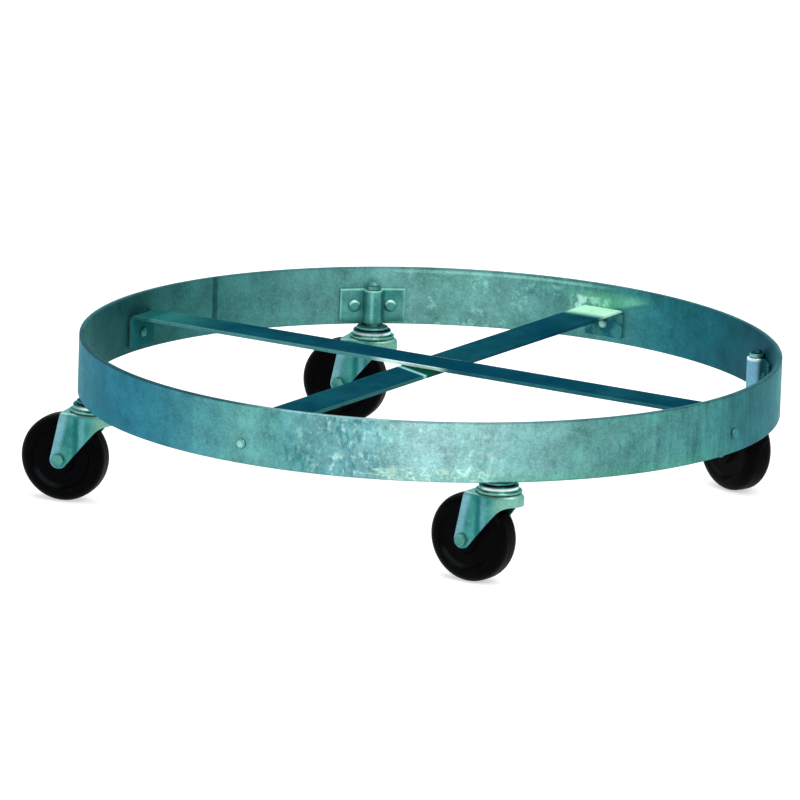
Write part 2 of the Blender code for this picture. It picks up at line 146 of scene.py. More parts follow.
UP = Vector((0.0, 0.0, 1.0))
UPRIGHT = Matrix.Identity(4)
HOLE_STEPS = 32
RING_STEPS = 72
FLAT_SHARE = math.cos(math.radians(30))     # a hexagon's flats, as a share of its corners' radius
CHAMFER_SHARE = 0.93                        # the chamfer's inner circle, as a share of the flats
CHAMFER_START = 0.97                        # where the chamfer would meet the flats, likewise


# --- outlines -----------------------------------------------------------------------

def arc(center, radius, start_deg, end_deg, steps):
    angles = [math.radians(start_deg + (end_deg - start_deg) * i / steps) for i in range(steps + 1)]
    return [(center[0] + radius * math.cos(a), center[1] + radius * math.sin(a)) for a in angles]


def hole(center, radius):
    return arc(center, radius, 0.0, 360.0 - 360.0 / HOLE_STEPS, HOLE_STEPS - 1)


def toward(angle_deg):
    """Unit vector at an angle round the hoop."""
    angle = math.radians(angle_deg)
    return Vector((math.cos(angle), math.sin(angle), 0.0))


def both_sides(half):
    return half + [(x, -y) for x, y in reversed(half[:-1])]


def rounded_rect(half_u, half_v, radius, border):
    """Section outline, with a point a border's width in from each corner on the long sides."""
    points = []
    for index, (su, sv) in enumerate(((1, 1), (-1, 1), (-1, -1), (1, -1))):
        center = (su * (half_u - radius), sv * (half_v - radius))
        corner = arc(center, radius, 90.0 * index, 90.0 * index + 90.0, 3)
        inset = (su * half_u, sv * (half_v - border))
        points += [inset] + corner if index in (0, 2) else corner + [inset]
    return points


def filleted(points, radii, steps=4, closed=False):
    """The outline with each corner rounded to its radius."""
    result = []
    count = len(points)
    for i, (point, radius) in enumerate(zip(points, radii)):
        if radius == 0 or (not closed and i in (0, count - 1)):
            result.append(point)
            continue
        corner = Vector(point)
        before = (Vector(points[i - 1]) - corner).normalized()
        after = (Vector(points[(i + 1) % count]) - corner).normalized()
        half = before.angle(after) / 2
        if math.pi / 2 - half < 0.02:
            result.append(point)
            continue
        reach = radius / math.tan(half)
        middle = corner + (before + after).normalized() * radius / math.sin(half)
        first = corner + before * reach - middle
        turn = first.angle_signed(corner + after * reach - middle)
        for k in range(steps + 1):
            spoke = first.copy()
            spoke.rotate(Matrix.Rotation(-turn * k / steps, 2))
            result.append(tuple(middle + spoke))
    return result


# --- meshes -------------------------------------------------------------------------

def mesh_from(verts, faces):
    mesh = bpy.data.meshes.new("mesh")
    mesh.from_pydata(verts, [], faces)
    work = bmesh.new()
    work.from_mesh(mesh)
    bmesh.ops.remove_doubles(work, verts=work.verts, dist=1e-7)
    bmesh.ops.recalc_face_normals(work, faces=work.faces)
    work.to_mesh(mesh)
    work.free()
    return mesh


def turned(profile, steps, closed=False):
    """Turns (radius, z) points about Z. Points on the axis close the solid."""
    verts = []
    rings = []
    for radius, z in profile:
        start = len(verts)
        if radius < 1e-9:
            verts.append((0.0, 0.0, z))
            rings.append([start] * steps)
            continue
        for k in range(steps):
            angle = 2 * math.pi * k / steps
            verts.append((radius * math.cos(angle), radius * math.sin(angle), z))
        rings.append(list(range(start, start + steps)))
    pairs = list(zip(rings[:-1], rings[1:]))
    if closed:
        pairs.append((rings[-1], rings[0]))
    faces = []
    for low, high in pairs:
        for k in range(steps):
            corners = (low[k], low[(k + 1) % steps], high[(k + 1) % steps], high[k])
            face = tuple(dict.fromkeys(corners))
            if len(face) > 2:
                faces.append(face)
    return mesh_from(verts, faces)


def skin(rings, closed):
    """Faces between rings of points. The skin runs on to its start, or is capped at both ends."""
    size = len(rings[0])
    verts = [point for ring in rings for point in ring]
    faces = [] if closed else [tuple(range(size)), tuple(range(len(verts) - size, len(verts)))]
    for i in range(len(rings) if closed else len(rings) - 1):
        a = i * size
        b = (i + 1) % len(rings) * size
        for k in range(size):
            n = (k + 1) % size
            faces.append((a + k, a + n, b + n, b + k))
    return mesh_from(verts, faces)


def sweep(path, normals, across, section, closed=False, cap_r=0.0):
    """Sweeps a section of (u, v) points: u along each normal, v along the across vector."""
    half_u = max(u for u, _ in section)
    half_v = max(v for _, v in section)
    stations = [(point, normal, 0.0) for point, normal in zip(path, normals)]
    if not closed:
        for end, other in ((0, 1), (-1, -2)):
            out = (path[end] - path[other]).normalized()
            base = path[end] - out * cap_r
            stations[end] = (base, normals[end], 0.0)
            extra = []
            for k in (1, 2, 3):
                angle = math.pi / 2 * k / 3
                extra.append((base + out * cap_r * math.sin(angle), normals[end],
                              cap_r * (1 - math.cos(angle))))
            stations = extra[::-1] + stations if end == 0 else stations + extra
    rings = [[point + normal * u * (1 - shrink / half_u) + across * v * (1 - shrink / half_v)
              for u, v in section] for point, normal, shrink in stations]
    return skin(rings, closed)


def path_normals(points, plane):
    """Normals of a path, across its direction and within the plane of the given normal."""
    normals = []
    for i in range(len(points)):
        before = points[max(i - 1, 0)]
        after = points[min(i + 1, len(points) - 1)]
        normals.append((after - before).normalized().cross(plane).normalized())
    return normals


def spaced(points, step):
    """The same path with points added so that none are further apart than step."""
    result = [points[0]]
    for a, b in zip(points[:-1], points[1:]):
        count = max(1, round((b - a).length / step))
        result += [a.lerp(b, k / count) for k in range(1, count + 1)]
    return result


def shown(name, data):
    """A new object in the scene."""
    obj = bpy.data.objects.new(name, data)
    bpy.context.scene.collection.objects.link(obj)
    return obj


def evaluated(obj):
    """The object's mesh with its modifiers applied. The object is removed."""
    bpy.context.view_layer.update()
    graph = bpy.context.evaluated_depsgraph_get()
    mesh = bpy.data.meshes.new_from_object(obj.evaluated_get(graph))
    bpy.data.objects.remove(obj, do_unlink=True)
    return mesh


# --- materials ----------------------------------------------------------------------

GLANCE = (0.30, 0.72, 0.78, 1.0)       # tint of the metal seen along its surface


def linear(red, green, blue):
    """A colour given on the 0 to 255 display scale."""
    return tuple((c / 255 / 12.92 if c < 10 else ((c / 255 + 0.055) / 1.055) ** 2.4)
                 for c in (red, green, blue)) + (1.0,)


class Shade:
    """Builds one material's nodes around its Principled shader."""

    def __init__(self, name):
        self.material = bpy.data.materials.new(name)
        self.material.use_nodes = True
        self.tree = self.material.node_tree
        self.shader = self.tree.nodes["Principled BSDF"]
        self.place = self.node("ShaderNodeAttribute", attribute_name="local").outputs["Vector"]
        self.x, self.y, self.z = self.node("ShaderNodeSeparateXYZ", {"Vector": self.place}).outputs
        self.tone = None
        chance = self.node("ShaderNodeObjectInfo").outputs["Random"]
        self.scatter = self.node("ShaderNodeVectorMath", {0: self.place, 1: chance},
                                 operation="ADD").outputs[0]

    def node(self, kind, values=(), **settings):
        node = self.tree.nodes.new(kind)
        for key, value in settings.items():
            setattr(node, key, value)
        for key, value in dict(values).items():
            self.set(node.inputs[key], value)
        return node

    def set(self, socket, value):
        if isinstance(value, bpy.types.NodeSocket):
            self.tree.links.new(value, socket)
        else:
            socket.default_value = value

    def math(self, operation, a, b=0.0, c=0.0):
        return self.node("ShaderNodeMath", {0: a, 1: b, 2: c}, operation=operation).outputs[0]

    def spread(self, value, low, high):
        """Maps low..high to 0..1, smoothly and with the ends held."""
        values = {"Value": value, "From Min": low, "From Max": high}
        return self.node("ShaderNodeMapRange", values, interpolation_type="SMOOTHSTEP").outputs[0]

    def near(self, value, middle, core, fade):
        """One within the core of the middle, falling to zero over the fade beyond it."""
        away = self.math("ABSOLUTE", self.math("SUBTRACT", value, middle))
        return self.math("SUBTRACT", 1.0, self.spread(away, core, core + fade))

    def beyond(self, value, middle, low, high):
        """Zero up to the low distance from the middle, and one from the high distance."""
        return self.spread(self.math("ABSOLUTE", self.math("SUBTRACT", value, middle)), low, high)

    def below(self, value, low, high):
        return self.math("SUBTRACT", 1.0, self.spread(value, low, high))

    def both(self, first, *others):
        for other in others:
            first = self.math("MULTIPLY", first, other)
        return first

    def length(self, x, y):
        return self.math("SQRT", self.math("MULTIPLY_ADD", x, x, self.math("MULTIPLY", y, y)))

    def paint(self, color, amount, *masks):
        """Mixes a display colour into the tone where all the masks are, by the given amount."""
        self.tone = self.mix(self.both(*masks, amount), self.tone, linear(*color))

    def stretch(self, across, up):
        values = {"Vector": self.place, "Scale": (across, across, up)}
        return self.node("ShaderNodeMapping", values).outputs[0]

    def noise(self, scale, detail=3.0, rough=0.55, vector=None):
        values = {"Vector": vector or self.scatter, "Scale": scale, "Detail": detail, "Roughness": rough}
        return self.node("ShaderNodeTexNoise", values).outputs["Fac"]

    def patches(self, low, high, *settings):
        """One where the noise is above high, falling to zero where it is under low."""
        return self.spread(self.noise(*settings), low, high)

    def flecks(self, low, high, across, up):
        """Small patches, with one scale across the object and one up it."""
        return self.patches(low, high, 1.0, 4.0, 0.6, self.stretch(across, up))

    def mix(self, factor, a, b, blend="MIX"):
        values = {0: factor, 6: a, 7: b}
        return self.node("ShaderNodeMix", values, data_type="RGBA", blend_type=blend).outputs[2]

    def scale_color(self, color, factor):
        grey = self.node("ShaderNodeCombineColor", {0: factor, 1: factor, 2: factor}).outputs[0]
        return self.mix(1.0, color, grey, "MULTIPLY")

    def ramp(self, value, stops):
        """A smooth run of display colours."""
        node = self.node("ShaderNodeValToRGB", {"Fac": value})
        ramp = node.color_ramp
        ramp.interpolation = "B_SPLINE"
        while len(ramp.elements) < len(stops):
            ramp.elements.new(0.5)
        for element, (position, color) in zip(ramp.elements, stops):
            element.position = position
            element.color = linear(*color)
        return node.outputs["Color"]

    def finish(self, color, roughness, metallic, height=None, depth=0.0, specular=0.5,
               glance=(1.0, 1.0, 1.0, 1.0)):
        """Sets the shader. Glance tints what is seen at a grazing angle."""
        values = {"Base Color": color, "Roughness": roughness, "Metallic": metallic,
                  "Specular IOR Level": specular, "Specular Tint": glance}
        if height is not None:
            bump = self.node("ShaderNodeBump", {"Height": height, "Distance": depth, "Strength": 1.0})
            values["Normal"] = bump.outputs[0]
        for key, value in values.items():
            self.set(self.shader.inputs[key], value)
        return self.material

    def zinc(self, spangle, contrast, roughness, metallic, depth, specular=0.3, uneven=0.12):
        """Finishes the tone as hot-dipped or plated zinc."""
        brightness, crystals, height = zinc_texture(self, spangle, contrast)
        color = self.scale_color(self.tone, brightness)
        rough = self.math("MULTIPLY_ADD", crystals, uneven, roughness)
        return self.finish(color, rough, metallic, height, depth, specular, GLANCE)


def zinc_texture(shade, spangle, contrast):
    """Brightness and height of a hot-dipped zinc skin: crystals, blotches and fine grain."""
    values = {"Vector": shade.scatter, "Scale": spangle * 1.5}
    bent = shade.node("ShaderNodeTexNoise", values).outputs["Color"]
    warp = shade.node("ShaderNodeVectorMath", {0: bent, 1: (0.9 / spangle,) * 3, 2: shade.scatter},
                      operation="MULTIPLY_ADD").outputs[0]
    cells = shade.node("ShaderNodeTexVoronoi", {"Vector": warp, "Scale": spangle * 1.7})
    crystals = shade.node("ShaderNodeSeparateColor", {"Color": cells.outputs["Color"]}).outputs[0]
    blotches = shade.noise(spangle * 0.30, 6.0, 0.66)
    grain = shade.noise(spangle * 4.0, 4.0, 0.65)
    total = shade.math("MULTIPLY_ADD", crystals, 0.16, shade.math("MULTIPLY", blotches, 1.1))
    total = shade.math("MULTIPLY_ADD", grain, 0.9, total)
    brightness = shade.math("MULTIPLY_ADD", shade.math("SUBTRACT", total, 1.08), contrast, 1.0)
    height = shade.math("MULTIPLY_ADD", grain, 0.5, blotches)
    return brightness, crystals, height


# Outer face round the hoop: tone with painted light and shade, a painted highlight at the front and
# painted shade on the left and at the front right.
OUTER_LIGHT_AND_TONE = (
    (0.00, (106, 162, 160)),
    (0.12, (88, 146, 146)),
    (0.22, (30, 102, 122)),
    (0.30, (28, 104, 128)),
    (0.34, (54, 122, 138)),
    (0.353, (68, 132, 142)),
    (0.366, (66, 134, 142)),
    (0.378, (88, 148, 144)),
    (0.40, (88, 148, 146)),
    (0.43, (102, 154, 156)),
    (0.468, (156, 200, 202)),
    (0.51, (110, 160, 158)),
    (0.56, (78, 134, 132)),
    (0.61, (64, 126, 126)),
    (0.66, (20, 78, 90)),
    (0.72, (60, 122, 128)),
    (0.80, (96, 154, 154)),
    (1.00, (106, 162, 160)),
)
# Inner face round the hoop: tone with painted light and shade, the painted shade darkest in two places.
INNER_LIGHT_AND_TONE = (
    (0.00, (96, 150, 147)),
    (0.06, (58, 116, 116)),
    (0.14, (18, 66, 66)),
    (0.20, (30, 84, 86)),
    (0.30, (78, 132, 130)),
    (0.50, (100, 154, 152)),
    (0.64, (76, 132, 136)),
    (0.71, (20, 78, 92)),
    (0.77, (6, 66, 84)),
    (0.84, (32, 108, 120)),
    (0.87, (54, 124, 130)),
    (0.93, (104, 158, 153)),
    (1.00, (96, 150, 147)),
)


def band_material():
    """Galvanised strip. Its tone and its painted light and shade change round the hoop, inside and
    outside differently.
    """
    shade = Shade("galvanised_band_look")
    turn = shade.math("ARCTAN2", shade.x, shade.math("MULTIPLY", shade.y, -1.0))
    around = shade.math("MULTIPLY_ADD", turn, 0.5 / math.pi, 0.5)
    outside = shade.spread(shade.length(shade.x, shade.y), HOOP_INNER_R + 0.4 * BAND_THICK,
                           HOOP_INNER_R + 0.6 * BAND_THICK)
    inside = shade.math("SUBTRACT", 1.0, outside)
    # Tone with painted light and shade round the hoop, one ramp inside and one outside.
    shade.tone = shade.mix(outside, shade.ramp(around, INNER_LIGHT_AND_TONE), shade.ramp(around, OUTER_LIGHT_AND_TONE))
    shade.paint((96, 158, 160), 0.22, outside, shade.near(around, 0.380, 0.0245, 0.002))
    drift = shade.math("MULTIPLY", shade.patches(0.38, 0.62, 30.0, 2.0), 0.6)
    shade.tone = shade.mix(drift, shade.tone, (0.86, 1.0, 0.93, 1.0), "MULTIPLY")
    outer_marks(shade, around, outside)
    inner_marks(shade, around, inside)
    mint_glow(shade, around, inside)
    seam_shade(shade, inside)
    rim_lines(shade, around)
    brightness, crystals, height = zinc_texture(shade, 130.0, 1.25)
    streaks = shade.math("SUBTRACT", shade.noise(1.0, 3.0, 0.6, shade.stretch(200.0, 16.0)), 0.5)
    panels = shade.math("SUBTRACT", shade.noise(1.0, 1.0, 0.5, shade.stretch(26.0, 1.0)), 0.5)
    streaked = shade.both(outside, shade.near(around, 0.62, 0.035, 0.04))
    brightness = shade.math("MULTIPLY_ADD", streaks, shade.math("MULTIPLY_ADD", streaked, 0.8, 0.2),
                            shade.math("MULTIPLY_ADD", panels, 0.45, brightness))
    rough = shade.math("MULTIPLY_ADD", crystals, 0.12, 0.46)
    return shade.finish(shade.scale_color(shade.tone, brightness), rough, 0.55, height, 0.12 * MM,
                        0.2, GLANCE)


def outer_marks(shade, around, outside):
    """Front of the strip: dark clumps on the left, then pale flecks and curled runs of zinc."""
    clumps = shade.patches(0.42, 0.56, 30.0, 3.0)
    flecks = shade.flecks(0.47, 0.60, 230.0, 110.0)
    left = shade.both(outside, shade.near(around, 0.422, 0.016, 0.02))
    shade.paint((38, 98, 118), 0.6, left, clumps, flecks)
    shade.paint((50, 124, 140), 0.2, left)
    pale = shade.flecks(0.50, 0.70, 170.0, 120.0)
    shade.paint((184, 222, 216), 0.6, outside, shade.near(around, 0.455, 0.028, 0.03), pale)
    shade.paint((160, 206, 202), 0.35, outside, shade.beyond(around, 0.45, 0.22, 0.28), pale)
    bent = shade.noise(1.0, 2.0, 0.5, shade.stretch(75.0, 110.0))
    shade.paint((192, 230, 214), 0.6, outside, shade.near(bent, 0.5, 0.014, 0.045),
                shade.near(around, 0.468, 0.022, 0.014),
                shade.below(shade.z, BAND_BOTTOM_Z + 9 * MM, BAND_BOTTOM_Z + 14 * MM))
    shade.paint((76, 150, 122), 0.35, outside, shade.near(around, 0.54, 0.05, 0.05),
                shade.below(shade.z, BAND_BOTTOM_Z + 2 * MM, BAND_BOTTOM_Z + 12 * MM))


def inner_marks(shade, around, inside):
    """Inside of the strip at the back: dark mottles, pale spots and a painted highlight in a pale line
    under the rim.
    """
    flecks = shade.flecks(0.46, 0.60, 190.0, 100.0)
    shade.paint((40, 104, 100), 0.5, inside, shade.near(around, 0.907, 0.012, 0.016),
                shade.spread(shade.z, -8 * MM, 2 * MM), flecks)
    spots = shade.patches(0.58, 0.68, 75.0, 4.0, 0.6)
    back = shade.both(inside, shade.near(around, 0.935, 0.035, 0.03))
    shade.paint((142, 206, 192), 0.6, back, spots)
    shade.paint((142, 196, 188), 0.5, inside, shade.near(around, 0.47, 0.14, 0.06), spots)
    # Painted highlight: a pale line under the rim.
    shade.paint((140, 202, 188), 0.6, back, shade.near(shade.z, RIM_Z - 3.2 * MM, 0.6 * MM, 1.4 * MM))


def mint_glow(shade, around, inside):
    """Light thrown on the strip by the lower brace's far end, with a ragged bright middle."""
    tilted = shade.math("MULTIPLY_ADD", around, GLOW_SLOPE, shade.z)
    edge = 0.878 * GLOW_SLOPE - 5.0 * MM
    glow = shade.both(inside, shade.spread(tilted, edge - 2.0 * MM, edge + 2.0 * MM),
                      shade.below(shade.z, 4.0 * MM, 13.0 * MM))
    shade.paint((118, 194, 162), 0.65, glow, shade.near(around, 0.879, 0.010, 0.018))
    shade.paint((178, 238, 220), 0.9, glow, shade.patches(0.40, 0.55, 150.0, 3.0),
                shade.near(around, 0.890, 0.006, 0.006), shade.below(shade.z, 2 * MM, 5 * MM))


def seam_shade(shade, inside):
    """Dark upright line where the rolled strip's ends meet."""
    across, outward = (shade.node("ShaderNodeVectorMath", {0: shade.place, 1: toward(angle_deg)},
                                  operation="DOT_PRODUCT").outputs["Value"]
                       for angle_deg in (SEAM_DEG + 90.0, SEAM_DEG))
    shade.paint((8, 60, 62), 0.75, inside, shade.near(across, 0.0, 1.6 * MM, 2.6 * MM),
                shade.math("GREATER_THAN", outward, 0.0))


def rim_lines(shade, around):
    """The strip's edges: dark along the top, with painted shade darkest on the left and a painted
    highlight on the top edge at the front left, and dark underneath.
    """
    rim = shade.spread(shade.z, RIM_Z - 1.8 * MM, RIM_Z - 0.3 * MM)
    shade.paint((40, 84, 92), 0.55, rim)
    # Painted shade on the top edge, darkest on the left.
    shade.paint((10, 48, 56), 0.7, rim, shade.near(around, 0.30, 0.07, 0.03))
    # Painted highlight on the top edge at the front left.
    shade.paint((150, 196, 200), 0.6, rim, shade.near(around, 0.425, 0.02, 0.02))
    foot = shade.below(shade.z, BAND_BOTTOM_Z + 0.3 * MM, BAND_BOTTOM_Z + 1.6 * MM)
    shade.paint((34, 88, 84), 0.45, foot)


def mottled(name, low, high, *settings):
    """A shader whose tone drifts between two display colours, as the noise settings say."""
    shade = Shade(name)
    shade.tone = shade.mix(shade.patches(0.35, 0.65, *settings), linear(*low), linear(*high))
    return shade


def zinc_material(name, light, dark, spangle, contrast, metallic=0.6, roughness=0.4):
    """Plated steel between two tones."""
    shade = mottled(name, dark, light, spangle * 0.2, 4.0)
    return shade.zinc(spangle, contrast, roughness, metallic, 0.06 * MM)


def brace_base(name):
    """Dark blue-teal bar, with the mask of its long edges."""
    shade = mottled(name, (6, 56, 73), (14, 68, 80), 9.0, 3.0)
    return shade, shade.beyond(shade.y, 0.0, 0.46 * BRACE_WIDTH, 0.5 * BRACE_WIDTH)


def brace_finish(shade):
    return shade.zinc(120.0, 0.7, 0.5, 0.0, 0.08 * MM, 0.0, 0.1)


def upper_brace_material():
    """Its far left end has the band's green tone, and painted shade on its bend and tab. Painted
    highlights run along its edges, and a painted glint marks its edge at the crossing.
    """
    shade, edge = brace_base("brace_upper_look")
    x = shade.x
    shade.paint((38, 104, 100), 0.9, shade.below(x, -285 * MM, -200 * MM))
    # Painted highlights along the long edges: strong on the left half, faint on the right.
    shade.paint((84, 142, 142), 0.7, edge, shade.below(x, -30 * MM, 60 * MM))
    shade.paint((60, 128, 132), 0.35, edge, shade.spread(x, 0.0, 90 * MM))
    # Painted shade on the bend and tab at the far left end.
    shade.paint((16, 78, 80), 0.75, shade.below(x, -286 * MM, -278 * MM))
    # Painted glint on the edges at the crossing.
    shade.paint((206, 240, 232), 0.9, edge, shade.near(x, -10 * MM, 22 * MM, 20 * MM))
    return brace_finish(shade)


def lower_brace_material():
    """A painted mint sheen on its far end, painted highlights along its edges on the near half, and
    beside the upper brace a dark corner of painted shadow with a painted highlight streak along it.
    """
    shade, edge = brace_base("brace_lower_look")
    x = shade.x
    # Painted highlights along the edges on the near half.
    shade.paint((62, 116, 108), 0.5, edge, shade.below(x, -40 * MM, 80 * MM))
    # Painted mint sheen on the top face of the far end.
    shade.paint((168, 228, 196), 0.95, shade.spread(x, 256 * MM, 276 * MM),
                shade.spread(shade.z, -6.2 * MM, -5.0 * MM))
    tab = shade.both(shade.spread(x, 270 * MM, 280 * MM), shade.below(shade.z, -8.0 * MM, -6.4 * MM))
    shade.paint((30, 100, 112), 0.8, tab)
    shade.paint((70, 140, 134), 0.6, tab, shade.patches(0.42, 0.58, 110.0, 3.0))
    slant = shade.math("MULTIPLY_ADD", shade.y, -0.45, x)
    # Painted shadow of the upper brace: a dark corner beside it.
    shade.paint((6, 60, 44), 0.85, shade.spread(slant, -30 * MM, -27 * MM),
                shade.below(x, -16 * MM, -12 * MM))
    # Painted highlight: a pale streak along the painted shadow's edge.
    shade.paint((128, 192, 186), 0.8, shade.near(slant, -31 * MM, 1.2 * MM, 2.6 * MM))
    return brace_finish(shade)


def strap_material():
    """Strap with painted highlights on its top, its ends and its round middle, painted shade in the fold
    beside its round middle, and darker towards the bottom.
    """
    shade = mottled("strap_look", (52, 120, 118), (80, 146, 138), 60.0, 4.0)
    y, z = shade.y, shade.z
    # Painted shade in the fold beside the round middle.
    shade.paint((14, 74, 72), 0.75, shade.near(y, -9.0 * MM, 1.6 * MM, 2.0 * MM))
    # Painted highlights along the top and the ends, and a pale streak of painted highlight on the round
    # middle.
    shade.paint((142, 206, 192), 0.75, shade.spread(z, SOCKET_TOP_Z - 2.2 * MM, SOCKET_TOP_Z - 0.6 * MM))
    ends = shade.beyond(y, 0.0, SOCKET_HALF_WIDTH - 2.4 * MM, SOCKET_HALF_WIDTH - 0.8 * MM)
    shade.paint((142, 206, 192), 0.45, ends)
    shade.paint((132, 194, 184), 0.5, shade.near(y, 2.4 * MM, 0.5 * MM, 2.0 * MM))
    shade.paint((40, 88, 62), 0.5, shade.below(z, SOCKET_BOTTOM_Z + 1 * MM, SOCKET_BOTTOM_Z + 6 * MM))
    return shade.zinc(180.0, 0.9, 0.4, 0.6, 0.06 * MM)


def lit_strap_material():
    """The right strap, a lit copy of the strap: painted light in pale blue inwards, painted shade where
    it meets the hoop, and a painted highlight along its top.
    """
    shade = Shade("lit_strap_look")
    x, z = shade.x, shade.z
    # Painted light inwards and painted shade towards the hoop.
    shade.tone = shade.mix(shade.spread(x, -2.0 * MM, 2.5 * MM), linear(112, 166, 190),
                           linear(22, 78, 84))
    # Painted highlight along the top edge.
    shade.paint((226, 244, 246), 0.9, shade.spread(z, SOCKET_TOP_Z - 3.0 * MM, SOCKET_TOP_Z - 1.0 * MM),
                shade.below(x, -1.0 * MM, 3.0 * MM))
    return shade.zinc(180.0, 0.8, 0.4, 0.6, 0.06 * MM)


def head_material(name, rim, crown, ring_r, ring):
    """Rivet with painted light: its tone grows paler from rim to crown, and a painted highlight arcs
    along the top of its head.
    """
    shade = Shade(name)
    reach = shade.length(shade.x, shade.y)
    shade.tone = shade.mix(shade.below(reach, 0.45 * ring_r, 0.9 * ring_r), linear(*rim),
                           linear(*crown))
    # Painted highlight: a bright arc along the top of the head.
    shade.paint(ring, 0.85, shade.near(reach, 0.8 * ring_r, 0.08 * ring_r, 0.16 * ring_r),
                shade.below(shade.x, -0.5 * ring_r, 0.1 * ring_r))
    return shade.zinc(300.0, 0.7, 0.36, 0.6, 0.05 * MM)


def fork_material():
    """Plated pressing with painted light and shade: a pale rear strip of painted light, a pale painted
    band beside a dark crease of painted shade, and painted highlights on the round skirt and along the
    crown's top.
    """
    shade = mottled("fork_look", (34, 108, 106), (66, 138, 132), 45.0, 4.0)
    x, z = shade.x, shade.z
    # Painted highlight on the round skirt.
    shade.paint((118, 166, 148), 0.8, shade.below(x, -14.0 * MM, -1.0 * MM))
    low = shade.below(z, CROWN_TOP_Z - 5 * MM, CROWN_TOP_Z - 1 * MM)
    # A pale painted band in front of the crease, and painted shade in the crease.
    shade.paint((96, 154, 168), 0.5, low, shade.near(x, CREASE_X - 5.5 * MM, 1.0 * MM, 3.0 * MM))
    shade.paint((6, 88, 90), 0.8, low, shade.near(x, CREASE_X, 0.4 * MM, 4.0 * MM))
    # Painted light along the rear edge.
    angle = math.radians(REAR_LEAN_DEG)
    rear = shade.math("MULTIPLY_ADD", z, math.tan(angle), x)
    edge_x = WHEEL_TRAIL + LEG_END_R / math.cos(angle) + AXLE_Z * math.tan(angle)
    shade.paint((116, 166, 180), 0.75, shade.spread(rear, edge_x - 10.0 * MM, edge_x - 4.5 * MM))
    # Painted highlight along the crown's top.
    shade.paint((150, 204, 188), 0.5, shade.spread(z, CROWN_TOP_Z - 2.5 * MM, CROWN_TOP_Z - 0.8 * MM))
    return shade.zinc(200.0, 0.9, 0.34, 0.6, 0.05 * MM, uneven=0.1)


def raceway_material():
    """Pressed cup with painted light and shade in bands by height: a dark top edge, a bright painted
    highlight band, dark lines and a dark lower rim.
    """
    shade = Shade("raceway_look")
    level = shade.node("ShaderNodeMapRange", {"Value": shade.z, "From Min": RACEWAY_RIM_Z,
                                              "From Max": RACEWAY_TOP_Z}).outputs[0]
    # Bands of painted highlight and painted shade, from the rim up to the top.
    shade.tone = shade.ramp(level, (
        (0.00, (14, 50, 48)),
        (0.08, (60, 120, 108)),
        (0.22, (128, 190, 166)),
        (0.33, (90, 150, 140)),
        (0.40, (4, 30, 30)),
        (0.47, (110, 160, 158)),
        (0.55, (240, 248, 246)),
        (0.70, (216, 238, 236)),
        (0.80, (80, 130, 126)),
        (0.90, (6, 44, 40)),
        (1.00, (4, 36, 32)),
    ))
    # Painted shade over the highlight band on the side towards the wheel.
    shade.paint((34, 84, 84), 0.7, shade.spread(shade.x, 1.0 * MM, 9.0 * MM),
                shade.spread(level, 0.42, 0.5))
    return shade.zinc(240.0, 0.4, 0.2, 0.9, 0.03 * MM, 0.4, 0.1)


def wheel_material():
    """Black moulded wheel with a dusty tread and a faint painted highlight low on its sides."""
    shade = Shade("wheel_look")
    dust = shade.patches(0.52, 0.80, 60.0, 6.0, 0.7)
    reach = shade.length(shade.x, shade.y)
    tread = shade.spread(reach, 0.86 * WHEEL_R, WHEEL_R)
    amount = shade.math("MULTIPLY", dust, shade.math("MULTIPLY_ADD", tread, 0.5, 0.25))
    shade.tone = shade.mix(amount, (0.0002, 0.0003, 0.0006, 1.0), (0.008, 0.009, 0.010, 1.0))
    # Painted highlight: a faint pale arc low on the sides.
    shade.paint((30, 38, 38), 0.5, shade.near(reach, 0.64 * WHEEL_R, 0.01 * WHEEL_R, 0.07 * WHEEL_R),
                shade.spread(shade.y, 0.2 * WHEEL_R, 0.4 * WHEEL_R),
                shade.spread(shade.x, -0.1 * WHEEL_R, 0.2 * WHEEL_R))
    rough = shade.math("MULTIPLY_ADD", dust, 0.2, 0.42)
    height = shade.noise(700.0, 4.0, 0.6)
    return shade.finish(shade.tone, rough, 0.0, height, 0.05 * MM, 0.025)


GLOW_SLOPE = 540 * MM                  # how fast the mint glow's lower edge falls, per turn
# Looks of the right socket: a lit copy of the strap with painted light, and shaded copies of the rivets
# and stem with painted shade.
RIGHT_LOOKS = {"strap": "lit_strap", "socket_rivet": "shaded_rivet", "stem": "shaded_stem"}

# Rim, crown, radius and painted highlight arc of each kind of rivet; the pale crowns are painted light
# too.
HEADS = {
    "socket_rivet": ((52, 118, 114), (70, 138, 130), SOCKET_HEAD_R, (176, 232, 216)),
    # A shaded copy of the socket rivet, with painted shade, for the right socket.
    "shaded_rivet": ((16, 72, 84), (24, 84, 96), SOCKET_HEAD_R, (30, 92, 102)),
    "brace_upper_rivet": ((48, 108, 112), (56, 118, 120), BRACE_HEAD_R, (72, 134, 136)),
    "brace_lower_rivet": ((82, 142, 140), (140, 194, 184), BRACE_HEAD_R, (104, 162, 156)),
}

# Light and dark tones, spangle, contrast, metal and roughness of each plain plated piece
PLATED = {
    "plate": ((96, 160, 156), (40, 100, 100), 220.0, 0.6, 0.8, 0.3),
    "bolt": ((84, 150, 138), (34, 100, 96), 220.0, 0.8),
    "stem": ((92, 156, 148), (40, 100, 98), 260.0, 0.8),
    # A shaded copy of the stem, with painted shade, for the right socket.
    "shaded_stem": ((30, 90, 104), (12, 60, 72), 260.0, 0.8),
    "bare_steel": ((128, 184, 174), (70, 124, 120), 400.0, 0.4, 0.8, 0.3),
}


